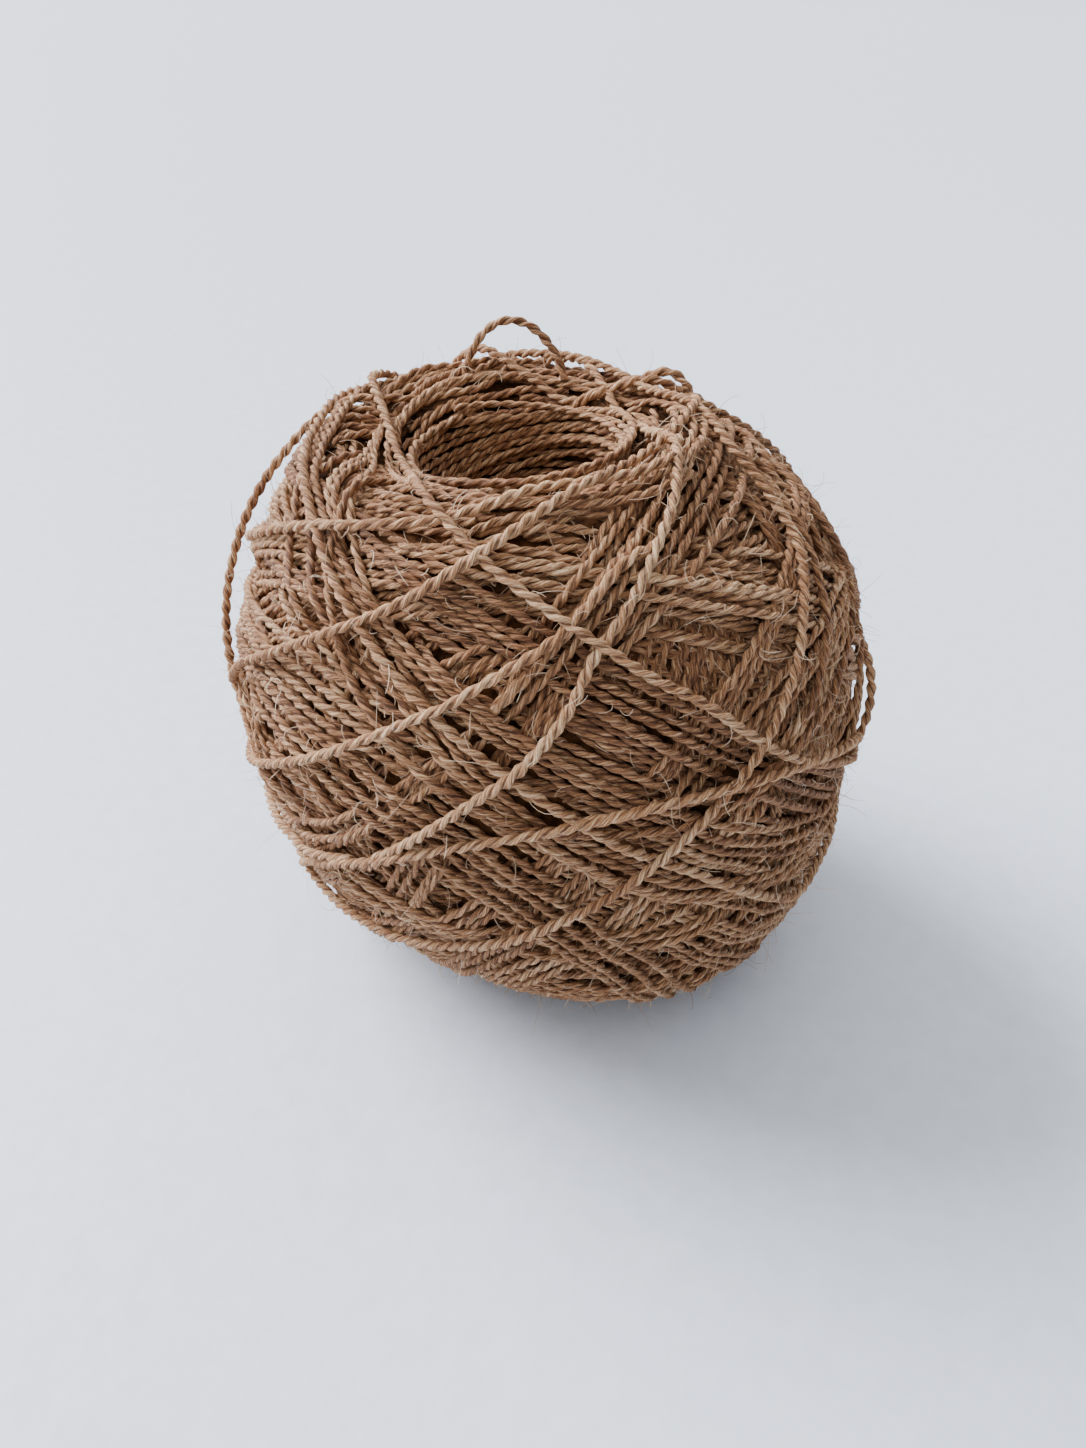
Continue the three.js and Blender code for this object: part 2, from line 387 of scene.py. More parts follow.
def read_at(places, known_places, rows):
    """Rows read off between the known places, column by column."""
    columns = [np.interp(places, known_places, column) for column in rows.T]
    return np.stack(columns, axis=1)


def resample(points, step):
    """Points an even step apart along a line, and how far along they lie."""
    along = lengths_along(points)
    count = max(3, int(round(along[-1] / step)) + 1)
    even = np.linspace(0, along[-1], count)
    return read_at(even, along, points), even


def soften(values, width):
    """Values smoothed along a path; width is in steps."""
    span = int(3 * width)
    weights = np.exp(-0.5 * (np.arange(-span, span + 1) / width) ** 2)
    padded = np.pad(values, span, mode="edge")
    return np.convolve(padded, weights / weights.sum(), mode="valid")


def soften_rows(rows, width):
    return np.stack([soften(column, width) for column in rows.T], axis=1)


def wander(random, count, step_mm, length_mm, size):
    """Smooth random wandering along a path."""
    knots = max(4, int(count * step_mm / length_mm) + 4)
    values = random.normal(0, size, knots)
    spread = np.interp(np.linspace(0, knots - 1, count), np.arange(knots), values)
    return soften(spread, max(1.0, length_mm / step_mm / 3))


def stretches(marks):
    """Start and stop of each marked stretch, as sample numbers."""
    ends = np.concatenate([[0], marks.astype(int), [0]])
    return np.flatnonzero(np.diff(ends)).reshape(-1, 2)


def smooth_step(low, high, value):
    part = np.clip((value - low) / (high - low), 0, 1)
    return part * part * (3 - 2 * part)


def degrees_from(directions, axis):
    return np.degrees(np.arccos(np.clip(directions @ axis, -1, 1)))


# The shape of the ball


def profile_line(sections, count):
    """Smooth line through the sections, as rows of radius, up and shift."""
    rows = np.array([[s.radius, s.up, s.shift] for s in sections])
    padded = np.vstack([2 * rows[0] - rows[1], rows, 2 * rows[-1] - rows[-2]])
    part = np.linspace(0, 1, 60, endpoint=False)[:, None]
    fine = []
    for k in range(len(rows) - 1):
        a, b, c, d = padded[k : k + 4]
        ab, bc, cd = np.linalg.norm(np.diff(padded[k : k + 4], axis=0), axis=1) ** 0.5
        leave = ((b - a) / ab - (c - a) / (ab + bc) + (c - b) / bc) * bc
        reach = ((c - b) / bc - (d - b) / (bc + cd) + (d - c) / cd) * bc
        square = 3 * (c - b) - 2 * leave - reach
        cube = 2 * (b - c) + leave + reach
        fine.append(b + leave * part + square * part**2 + cube * part**3)
    fine = np.vstack([*fine, rows[-1:]])
    length = lengths_along(fine)
    return read_at(np.linspace(0, length[-1], count), length, fine)


FINE_PROFILE = profile_line(BODY_SECTIONS, 300)


def reach_along(directions):
    """Distance from the winding middle to the outside of the body."""
    radius, up, shift = FINE_PROFILE.T
    low = np.full(len(directions), 5.0)
    high = np.full(len(directions), 60.0)
    for _ in range(24):
        t = (low + high) / 2
        at = WINDING_MIDDLE + t * directions[:, 2]
        r = np.interp(at, up, radius, left=-1, right=-1)
        x = np.interp(at, up, shift)
        inside = np.hypot(t * directions[:, 0] - x, t * directions[:, 1]) < r
        low = np.where(inside, t, low)
        high = np.where(inside, high, t)
    return (low + high) / 2


def lean_matrix():
    forward = Matrix.Rotation(math.radians(LEAN_FORWARD_DEG), 3, "X")
    left = Matrix.Rotation(-math.radians(LEAN_LEFT_DEG), 3, "Y")
    return np.array(forward @ left)


LEAN = lean_matrix()


def stand_up(points):
    """From the ball's leaning frame to the row frame, in millimetres."""
    return points @ LEAN.T + np.array(STANDS_AT)


def turn_axes(around, lean):
    """A turn's pole, the way to its lowest point, and the way across both."""
    around, lean = math.radians(around), math.radians(lean)
    sin_a, cos_a = math.sin(around), math.cos(around)
    sin_l, cos_l = math.sin(lean), math.cos(lean)
    pole = np.array([sin_l * sin_a, -sin_l * cos_a, cos_l])
    lowest = np.array([cos_l * sin_a, -cos_l * cos_a, -sin_l])
    return pole, lowest, np.cross(pole, lowest)


def turn_directions(around, lean, reach, angles):
    """Directions of a turn's points; reach may change from point to point."""
    pole, lowest, side = turn_axes(around, lean)
    r = np.radians(np.broadcast_to(reach, angles.shape))[:, None]
    u = np.radians(angles)[:, None]
    ring = np.cos(u) * lowest + np.sin(u) * side
    return np.cos(r) * pole + np.sin(r) * ring


MOUTH_AXIS = unit(np.array(WELL_MOUTH) - [0, 0, WINDING_MIDDLE])


def uneven_shape(directions):
    """How far the ball stands out of its even body, and rolls in at its lip."""
    off = degrees_from(directions, MOUTH_AXIS)
    rise = -LIP_DROP * (1 - smooth_step(LIP_FROM_DEG, LIP_TO_DEG, off))
    for swell in SWELLS:
        off = degrees_from(directions, unit([swell.x, swell.y, swell.z]))
        rise = rise + swell.rise * np.exp(-((off / swell.wide) ** 2))
    return rise


def round_the_mouth(directions, clear, aside):
    """Moves the parts of a turn that would cross the well's mouth to its rim."""
    axis = unit(MOUTH_AXIS + [*aside, 0])
    off = degrees_from(directions, axis)
    least = clear + math.degrees(np.linalg.norm(aside))
    moved = least + 1.5 * np.log1p(np.exp(np.clip((off - least) / 1.5, -30, 30)))
    moved = np.radians(np.where(off < least + 15, moved, off))[:, None]
    outward = unit(directions - axis * (directions @ axis)[:, None])
    return np.cos(moved) * axis + np.sin(moved) * outward


# The photograph's view


def camera_axes():
    """Right, up and back of the camera in the row frame."""
    down, roll = math.radians(CAMERA_DOWN_DEG), math.radians(CAMERA_ROLL_DEG)
    level_up = np.array([0, math.sin(down), math.cos(down)])
    right = np.array([math.cos(roll), 0, 0]) + level_up * math.sin(roll)
    up = np.array([-math.sin(roll), 0, 0]) + level_up * math.cos(roll)
    return right, up, np.array([0, -math.cos(down), math.sin(down)])


def directions_seen(pixels):
    """Directions from the winding middle to the body's points under the pixels."""
    right, up, back = camera_axes()
    focal = CAMERA_LENS_MM / CAMERA_SENSOR_MM * PHOTO_HEIGHT
    across, down = np.array(pixels, float).T
    across = (across - PHOTO_WIDTH / 2) / focal
    down = (down - PHOTO_HEIGHT / 2) / focal
    rays = unit(-back + across[:, None] * right - down[:, None] * up) @ LEAN
    start = (np.array(CAMERA_AT) - STANDS_AT) @ LEAN - [0, 0, WINDING_MIDDLE]
    along = np.linspace(70, 220, 601)
    found = []
    for ray in rays:
        points = start + along[:, None] * ray
        far = np.linalg.norm(points, axis=1)
        over = far - reach_along(points / far[:, None])
        hit = np.flatnonzero(over < 0)
        # A ray that passes the ball by takes the point where it comes nearest
        k = hit[0] if len(hit) else int(np.argmin(over))
        found.append(points[k] / far[k])
    return np.array(found)


# The winding


class Pile:
    """Height of the laid yarn over the body, by direction from the winding middle."""

    OFFSETS = np.linspace(-0.9, 0.9, 7)
    TOUCHING = slice(1, 6)

    def __init__(self, radius):
        self.radius = radius
        self.height = np.full(6 * PILE_CELLS * PILE_CELLS, PILE_START)
        self.rise = radius * np.sqrt(1 - self.OFFSETS**2)

    @staticmethod
    def cells(directions):
        """Number of the cube's cell that each direction passes through."""
        axis = np.argmax(np.abs(directions), axis=-1)
        most, first, second = (
            np.take_along_axis(directions, ((axis + shift) % 3)[..., None], -1)[..., 0]
            for shift in range(3)
        )
        face = axis * 2 + (most < 0)
        row, column = (
            np.clip(((value / np.abs(most) + 1) / 2 * PILE_CELLS).astype(int),
                    0, PILE_CELLS - 1)
            for value in (first, second)
        )
        return (face * PILE_CELLS + row) * PILE_CELLS + column

    @staticmethod
    def cell_directions(face):
        """Directions of the cells of one face of the cube."""
        grid = (np.arange(PILE_CELLS) + 0.5) / PILE_CELLS * 2 - 1
        first, second = np.meshgrid(grid, grid, indexing="ij")
        axis = face // 2
        rows = np.zeros((PILE_CELLS * PILE_CELLS, 3))
        rows[:, axis] = -1 if face % 2 else 1
        rows[:, (axis + 1) % 3] = first.ravel()
        rows[:, (axis + 2) % 3] = second.ravel()
        return unit(rows)

    def across(self, directions, sides, reach):
        """Cells that a strand covers from side to side, at each of its samples."""
        shift = (self.OFFSETS * self.radius)[None, :, None] / reach[:, None, None]
        return self.cells(directions[:, None] + sides[:, None] * shift)

    def under(self, directions, sides, reach, squash):
        """Height at which a strand's middle would rest on what is laid already."""
        tops = self.height[self.across(directions, sides, reach)]
        return (tops + self.rise * squash)[:, self.TOUCHING].max(axis=1)

    def lay(self, directions, sides, reach, middle):
        cells = self.across(directions, sides, reach)
        np.maximum.at(self.height, cells, middle[:, None] + self.rise)


def upper_hull(along, height):
    """Height of a taut line over the supports, which are given along a flat line."""
    keep = []
    for k in range(len(along)):
        while len(keep) > 1:
            i, j = keep[-2], keep[-1]
            rise = (height[j] - height[i]) * (along[k] - along[i])
            if rise > (height[k] - height[i]) * (along[j] - along[i]):
                break
            keep.pop()
        keep.append(k)
    return np.interp(along, along[keep], height[keep])


class Winding:
    """All the strands of the ball, laid in order."""

    def __init__(self, radius):
        self.radius = radius
        self.pile = Pile(radius)
        self.random = np.random.default_rng(WINDING_SEED)
        self.strands = []

    def lay(self, group, directions, squash, sag_radius, clear=None):
        """Lays one strand over the pile: it rests on what is below, taut between."""
        aside = np.zeros(2)
        if clear is None:
            clear = WELL_CLEAR_DEG + self.random.uniform(0, WELL_CLEAR_VARIES_DEG)
            aside = self.random.normal(0, MOUTH_ASIDE, 2)
        directions = round_the_mouth(directions, clear, aside)
        along = lengths_along(directions * reach_along(directions)[:, None])
        count = max(8, int(along[-1] / PATH_STEP))
        even = np.linspace(0, along[-1], count)
        directions = unit(read_at(even, along, directions))
        reach = reach_along(directions)
        ahead = np.gradient(directions * reach[:, None], axis=0)
        sides = unit(np.cross(ahead, directions))
        rest = self.pile.under(directions, sides, reach, squash)
        curve = even**2 / (2 * sag_radius)
        height = upper_hull(even, rest - curve) + curve
        height = soften(np.maximum(soften(height, 1.6), rest - 0.12), 1.2)
        close = np.minimum(even, even[-1] - even)
        height = height - END_DIVE * (1 - np.clip(close / END_LENGTH, 0, 1)) ** 2
        samples = np.arange(count)
        finer = np.linspace(0, count - 1, count * 3)
        self.pile.lay(
            read_at(finer, samples, directions), read_at(finer, samples, sides),
            np.interp(finer, samples, reach), np.interp(finer, samples, height),
        )
        self.strands.append({
            "group": group, "directions": directions, "sides": sides, "reach": reach,
            "height": height,
        })

    def lay_band(self, group, around, lean, reach, turns, spacing):
        """A band is one strand that goes round several times, each time a little on."""
        gap = math.degrees(spacing / MEAN_REACH)
        angles = np.arange(0, 360 * turns, ANGLE_STEP_DEG)
        start = self.random.uniform(0, 360)
        wave = (0.5 * gap * self.random.uniform(0.3, 1.0)
                * np.sin(np.radians(angles * 2 + self.random.uniform(0, 360))))
        loose = wander(self.random, len(angles), 0.5, 30, 0.34 * gap)
        off = angles / 360 - turns / 2
        reach = reach + off * gap + wave + loose
        around = around + off * self.random.uniform(-1.6, 1.6)
        lean = lean + off * self.random.uniform(-0.8, 0.8)
        # The pole drifts in short steps, which are smoothed out afterwards
        steps = len(angles) // 40
        parts = [np.array_split(values, steps)
                 for values in (around, lean, reach, angles + start)]
        rows = [turn_directions(pole_around.mean(), pole_lean.mean(), far, at)
                for pole_around, pole_lean, far, at in zip(*parts)]
        directions = unit(soften_rows(np.vstack(rows), 12))
        self.lay(group, directions, BAND_SQUASH, BAND_SAG_RADIUS)

    def lay_turn(self, turn):
        """A single turn through the photograph's points, and behind by its pole."""
        angles = np.arange(0, 360, ANGLE_STEP_DEG)
        reach = np.full(len(angles), float(turn.reach))
        start = 180.0
        if turn.seen:
            pole, lowest, side = turn_axes(turn.around, turn.lean)
            seen = directions_seen(turn.seen)
            at = np.degrees(np.arctan2(seen @ side, seen @ lowest)) % 360
            off = degrees_from(seen, pole)
            middle = np.exp(1j * np.radians(at)).mean()
            start = (math.degrees(np.angle(middle)) % 360 + 180) % 360
            at = (at - start) % 360
            way = 1 if at[-1] > at[0] else -1
            first, last = at[0] - way * turn.before, at[-1] + way * turn.after
            order = np.argsort(at)
            at, off = at[order], off[order]
            known_at = np.concatenate([
                [0], [max(at[0] - TURN_MARGIN_DEG, 1)], at,
                [min(at[-1] + TURN_MARGIN_DEG, 359)], [360],
            ])
            known = np.concatenate([[turn.reach] * 2, off, [turn.reach] * 2])
            reach = soften(np.interp(angles, known_at, known), 4)
        more = np.arange(360, 360 + TURN_OVERLAP_DEG, ANGLE_STEP_DEG)
        angles = np.concatenate([angles, more])
        reach = np.concatenate([reach, reach[: len(more)]])
        if turn.before + turn.after < 360:
            kept = (angles > min(first, last)) & (angles < max(first, last))
            angles, reach = angles[kept], reach[kept]
        directions = turn_directions(turn.around, turn.lean, reach, angles + start)
        self.lay("outer", directions, TURN_SQUASH, TURN_SAG_RADIUS, TURN_CLEAR_DEG)

    def level(self):
        """Takes out the slow rise of the pile, so that the ball keeps its shape, and
        presses what is left together, with the order of the strands unchanged."""
        sums = np.zeros((SLOW_ROWS, SLOW_COLUMNS))
        counts = np.zeros((SLOW_ROWS, SLOW_COLUMNS))
        cells = PILE_CELLS**2
        for face in range(6):
            top = self.pile.height[face * cells : (face + 1) * cells]
            laid = top > PILE_START
            polar, azimuth = self.grid_place(self.pile.cell_directions(face)[laid])
            place = (polar.astype(int), azimuth.astype(int))
            np.add.at(sums, place, top[laid])
            np.add.at(counts, place, 1)
        for _ in range(3):
            sums, counts = self.blur(sums), self.blur(counts)
        overall = sums.sum() / counts.sum()
        self.slow = np.where(counts > 0.05, sums / np.maximum(counts, 0.05), overall)
        for strand in self.strands:
            level = strand["height"] - self.slow_at(strand["directions"])
            strand["level"] = level
            over = (level + self.radius) / PILE_SOFTNESS
            most = np.where(over > 0, PILE_RISE, PILE_DEPTH)
            pressed = MEAN_TOP - self.radius + most * np.tanh(over)
            if strand["group"] == "outer":
                pressed += OUTER_LIFT
            strand["height"] = pressed + uneven_shape(strand["directions"])
            strand["runs"] = self.runs(strand)

    @staticmethod
    def grid_place(directions):
        """Row and column of the slow grid, with fractions."""
        polar = np.degrees(np.arccos(np.clip(directions[:, 2], -1, 1)))
        azimuth = np.degrees(np.arctan2(directions[:, 1], directions[:, 0])) % 360
        return (np.clip(polar / SLOW_GRID_DEG, 0, SLOW_ROWS - 0.01),
                np.clip(azimuth / SLOW_GRID_DEG, 0, SLOW_COLUMNS - 0.01))

    @staticmethod
    def blur(rows):
        wide = np.roll(rows, 1, axis=1) + 2 * rows + np.roll(rows, -1, axis=1)
        tall = np.vstack([wide[:1], wide, wide[-1:]])
        return (tall[:-2] + 2 * tall[1:-1] + tall[2:]) / 16

    def slow_at(self, directions):
        """The pile's slow rise at each direction, read between the grid's places."""
        polar, azimuth = (place - 0.5 for place in self.grid_place(directions))
        low, left = np.floor(polar).astype(int), np.floor(azimuth).astype(int)
        down, along = polar - low, azimuth - left
        rows = []
        for step in (0, 1):
            row = np.clip(low + step, 0, SLOW_ROWS - 1)
            near = self.slow[row, left % SLOW_COLUMNS]
            far = self.slow[row, (left + 1) % SLOW_COLUMNS]
            rows.append(near * (1 - along) + far * along)
        return rows[0] * (1 - down) + rows[1] * down

    def hidden(self, strand):
        """Marks the samples that lie wholly under later turns."""
        pile = self.pile
        cells = pile.across(strand["directions"], strand["sides"], strand["reach"])
        tops = pile.height[cells] - self.slow_at(strand["directions"])[:, None]
        own = strand["level"][:, None] + pile.rise
        return (tops > own + BURIED_UNDER).all(axis=1)

    def runs(self, strand):
        """Stretches of a strand that show, as pairs of sample numbers."""
        buried = self.hidden(strand)
        keep = np.ones(len(buried), bool)
        for start, stop in stretches(buried):
            # What shows goes on a little way under the others
            first = start + 2 if start > 0 else 0
            last = stop - 2 if stop < len(buried) else len(buried)
            if last - first >= 4:
                keep[first:last] = False
        short = SHORT_RUN if strand["group"] in ("last", "outer") else SHORT_DEEP_RUN
        return [run for run in stretches(keep) if run[1] - run[0] > short]


def wind_ball(radius):
    """Lays every turn in order and levels the pile."""
    ball = Winding(radius)
    around = 0.0
    for layer in LAYERS:
        for _ in range(layer.bands):
            around += BAND_STEP_DEG + ball.random.uniform(
                -BAND_STEP_VARIES_DEG, BAND_STEP_VARIES_DEG
            )
            lean = ball.random.uniform(layer.lean_least, layer.lean_most)
            reach = lean + ball.random.uniform(layer.rim_least, layer.rim_most)
            if layer.group == "under":
                lean = 180 - lean
            ball.lay_band(layer.group, around, lean, reach, layer.turns, layer.gap)
    for band in LAST_BANDS:
        ball.lay_band("last", *band, LAST_GAP)
    for turn in OUTER_TURNS:
        ball.lay_turn(turn)
    ball.level()
    return ball


def well_strands(random):
    """The turns that line the well, as points in the ball's frame."""
    wall, up, shift = profile_line(WELL_SECTIONS, 200)[::-1].T
    strands = []
    for lining in WELL_LININGS:
        height = 78.0 - lining.inward
        while height > 31:
            angles = np.radians(np.arange(0, 372, 4.0)) + random.uniform(0, 6.3)
            tilt = lining.slope * math.sin(height / 5.5 + 2 * lining.inward)
            at = np.interp(height, up, wall)
            z = height + at * tilt * np.sin(angles + height / 9)
            z = z + wander(random, len(angles), 1.0, 12, 0.22 + 0.6 * lining.inward)
            z = np.clip(z, LINING_BOTTOM, LINING_TOP)
            uneven = wander(random, len(angles), 1.0, 9, 0.12)
            r = np.interp(z, up, wall) - lining.inward + uneven
            x = np.interp(z, up, shift)
            strands.append(np.stack([x + r * np.cos(angles), r * np.sin(angles), z], 1))
            height -= lining.spacing * random.uniform(0.92, 1.12)
    return strands


def floor_strands(random):
    """Loops that lie on the floor of the well."""
    strands = []
    for k in range(FLOOR_LOOPS):
        angles = np.radians(np.arange(0, 340, 12.0)) + random.uniform(0, 6.3)
        r = random.uniform(2.0, 7.5)
        x = 0.6 + random.uniform(-1.5, 1.5) + r * np.cos(angles)
        y = random.uniform(-1.5, 1.5) + r * np.sin(angles)
        z = 27.6 + 0.35 * k + 0.6 * np.sin(angles * 2 + k)
        strands.append(np.stack([x, y, z], 1))
    return strands


def loop_points(loop, radius):
    """A slack loop leaves the ball and comes back, both ends under the other turns."""
    part = np.linspace(0, 1, 60)
    angles = loop.start + (loop.stop - loop.start) * part
    directions = turn_directions(loop.around, loop.lean, loop.reach, angles)
    rise = loop.rise * np.sin(np.pi * part) ** SLACK_POWER - 2 * radius
    points = directions * (reach_along(directions) + rise)[:, None]
    points[:, 2] += WINDING_MIDDLE
    return points


def strand_points(strand, start, stop, radius):
    """The strand's middle line in the row frame, kept above the sill."""
    far = (strand["reach"] + strand["height"])[start:stop, None]
    points = strand["directions"][start:stop] * far
    points[:, 2] += WINDING_MIDDLE
    points = stand_up(points)
    points[:, 2] = np.maximum(points[:, 2], RESTING_SHARE * radius)
    return points


def hair_points(random, root, way, out, radius):
    """A loose fibre: it leaves the yarn along it and outwards, and curls one way."""
    length = random.gamma(2.6, 0.75) + 0.5
    steps = 3 if length < LONG_HAIR else 5
    side = np.cross(out, way)
    heading = way * random.choice([-1, 1]) * random.uniform(0.5, 1.3)
    heading = heading + out * random.uniform(0.25, 1.1)
    heading = unit(heading + side * random.normal(0, 0.7))
    axis = random.normal(0, 1, 3)
    axis = unit(axis - heading * (axis @ heading))
    bend = random.normal(0, 0.38)
    point = root + out * radius * 0.55 + side * random.normal(0, 0.3)
    points = [point]
    for _ in range(steps):
        point = point + heading * length / steps
        heading = heading * math.cos(bend) + np.cross(axis, heading) * math.sin(bend)
        points.append(point)
    points = np.array(points)
    points[:, 2] = np.maximum(points[:, 2], 0.05)
    return points


# Meshes


class Lines:
    """Polylines gathered into one mesh, with values carried along them."""

    def __init__(self):
        self.points, self.edges, self.values = [], [], {}
        self.count = 0

    def add(self, points, **values):
        n = len(points)
        self.points.append(points)
        index = np.arange(n - 1) + self.count
        self.edges.append(np.stack([index, index + 1], axis=1))
        for name, value in values.items():
            self.values.setdefault(name, []).append(np.broadcast_to(value, n))
        self.count += n

    def mesh(self, name):
        mesh = bpy.data.meshes.new(name)
        points = np.vstack(self.points) * MM
        edges = np.vstack(self.edges)
        mesh.from_pydata(points.tolist(), edges.tolist(), [])
        for key, parts in self.values.items():
            layer = mesh.attributes.new(key, "FLOAT", "POINT")
            layer.data.foreach_set("value", np.concatenate(parts).astype(np.float32))
        return mesh


def strand_values(random, along, pitch, tone):
    """Twist, girth and tone of a strand at its points."""
    n = len(along)
    step = along[1] - along[0]
    slower = 1 + wander(random, n, step, 25, 0.09)
    twist = -2 * math.pi / pitch * np.concatenate([[0], np.cumsum(slower[1:] * step)])
    return {
        "twist": twist + random.uniform(0, 6.3),
        "girth": 1 + wander(random, n, step, 9, 0.055),
        "along": along + random.uniform(0, 4000),
        "tone": np.clip(tone + wander(random, n, step, 18, 0.12), 0, 1),
    }


def node(tree, kind, settings=(), links=()):
    """Adds a node, sets its values, sockets and colour stops, and links its inputs
    from sockets, or from the first outputs of nodes."""
    made = tree.nodes.new(kind)
    for key, value in dict(settings).items():
        if key == "stops":
            elements = made.color_ramp.elements
            while len(elements) < len(value):
                elements.new(0.5)
            for element, (place, colour) in zip(elements, value):
                element.position = place
                element.color = colour
        elif isinstance(key, str) and hasattr(made, key):
            setattr(made, key, value)
        else:
            made.inputs[key].default_value = value
    for key, source in dict(links).items():
        if isinstance(source, bpy.types.Node):
            source = source.outputs[0]
        tree.links.new(source, made.inputs[key])
    return made


def strand_tree():
    """Sweeps a section of two plies that touch along the lines. With no ply offset it
    makes one thin fibre."""
    tree = bpy.data.node_groups.new("twisted_strand", "GeometryNodeTree")
    face = tree.interface
    for name, kind, size in (
        ("Geometry", "NodeSocketGeometry", None),
        ("Ply radius", "NodeSocketFloat", 0.42 * MM),
        ("Ply offset", "NodeSocketFloat", 0.31 * MM),
        ("Sides", "NodeSocketInt", 8),
        ("Material", "NodeSocketMaterial", None),
    ):
        socket = face.new_socket(name, in_out="INPUT", socket_type=kind)
        if size is not None:
            socket.default_value = size
        if kind == "NodeSocketFloat":
            socket.subtype = "DISTANCE"
    face.new_socket("Geometry", in_out="OUTPUT", socket_type="NodeSocketGeometry")

    given = node(tree, "NodeGroupInput")
    girth, twist = (
        node(tree, "GeometryNodeInputNamedAttribute",
             {"data_type": "FLOAT", "Name": key}) for key in ("girth", "twist")
    )
    lines = node(tree, "GeometryNodeMeshToCurve", links={"Mesh": given})
    sized = node(tree, "GeometryNodeSetCurveRadius", links={
        "Curve": lines, "Radius": girth,
    })
    turned = node(tree, "GeometryNodeSetCurveTilt", links={
        "Curve": sized, "Tilt": twist,
    })

    # The section starts as a ring of radius one. One of its points always lies in the
    # crease, a quarter turn round
    ring = node(tree, "GeometryNodeCurvePrimitiveCircle", {"Radius": 1.0},
                {"Resolution": given.outputs["Sides"]})
    one_side = node(tree, "ShaderNodeMath", {"operation": "DIVIDE", 0: math.tau},
                    {1: given.outputs["Sides"]})
    start = node(tree, "ShaderNodeMath", {"operation": "MODULO", 0: math.pi / 2},
                 {1: one_side})
    rotation = node(tree, "ShaderNodeCombineXYZ", links={"Z": start})
    ring = node(tree, "GeometryNodeTransform", links={
        "Geometry": ring, "Rotation": rotation,
    })
    where = node(tree, "GeometryNodeInputPosition")
    kept = node(tree, "GeometryNodeStoreNamedAttribute",
                {"data_type": "FLOAT_VECTOR", "domain": "POINT", "Name": "across"},
                {"Geometry": ring, "Value": where})

    # Each point moves out to where its ray leaves the ply that lies on its side
    parts = node(tree, "ShaderNodeSeparateXYZ", links={"Vector": where})
    values = {
        "ply": given.outputs["Ply radius"], "offset": given.outputs["Ply offset"],
        "x": parts.outputs["X"], "y": parts.outputs["Y"],
    }
    for result, operation, *inputs in (
        ("side", "MULTIPLY", "offset", "y"),
        ("ply_square", "MULTIPLY", "ply", "ply"),
        ("side_square", "MULTIPLY", "side", "side"),
        ("inside", "SUBTRACT", "ply_square", "side_square"),
        ("beside", "ABSOLUTE", "x"),
        ("forward", "MULTIPLY", "offset", "beside"),
        ("root", "SQRT", "inside"),
        ("far", "ADD", "forward", "root"),
    ):
        values[result] = node(tree, "ShaderNodeMath", {"operation": operation},
                              {k: values[key] for k, key in enumerate(inputs)})
    shaped = node(tree, "ShaderNodeVectorMath", {"operation": "SCALE"},
                  {0: where, "Scale": values["far"]})
    section = node(tree, "GeometryNodeSetPosition", links={
        "Geometry": kept, "Position": shaped,
    })

    own_girth = node(tree, "GeometryNodeInputRadius")
    tube = node(tree, "GeometryNodeCurveToMesh", {"Fill Caps": True}, {
        "Curve": turned, "Profile Curve": section,
        "Scale": own_girth,
    })
    smooth = node(tree, "GeometryNodeSetShadeSmooth",
                  links={"Geometry": tube})
    real = node(tree, "GeometryNodeRealizeInstances",
                links={"Geometry": smooth})
    finished = node(tree, "GeometryNodeSetMaterial", links={
        "Geometry": real, "Material": given.outputs["Material"],
    })
    node(tree, "NodeGroupOutput", links={"Geometry": finished})
    return tree


def grown(name, mesh, tree, inputs):
    """Runs a node tree on a mesh and returns the result as a plain piece."""
    base = bpy.data.objects.new(name + "_lines", mesh)
    bpy.context.scene.collection.objects.link(base)
    modifier = base.modifiers.new("grow", "NODES")
    modifier.node_group = tree
    for item in tree.interface.items_tree:
        if item.in_out == "INPUT" and item.name in inputs:
            modifier[item.identifier] = inputs[item.name]
    graph = bpy.context.evaluated_depsgraph_get()
    made = bpy.data.meshes.new_from_object(base.evaluated_get(graph))
    made.name = name
    bpy.data.objects.remove(base)
    piece = bpy.data.objects.new(name, made)
    bpy.context.scene.collection.objects.link(piece)
    if not made.polygons:
        raise RuntimeError(f"{name} came out empty")
    return piece


def declare(piece):
    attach(piece, "root")
    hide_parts("wound_ball")
    return piece


# Materials


def blank_material(name):
    made = bpy.data.materials.new(name)
    made.use_nodes = True
    made.node_tree.nodes.clear()
    return made


def finish_material(made, settings, links):
    """Ends the material in its shader, and returns it."""
    tree = made.node_tree
    shader = node(tree, "ShaderNodeBsdfPrincipled", settings, links)
    node(tree, "ShaderNodeOutputMaterial", links={"Surface": shader})
    return made


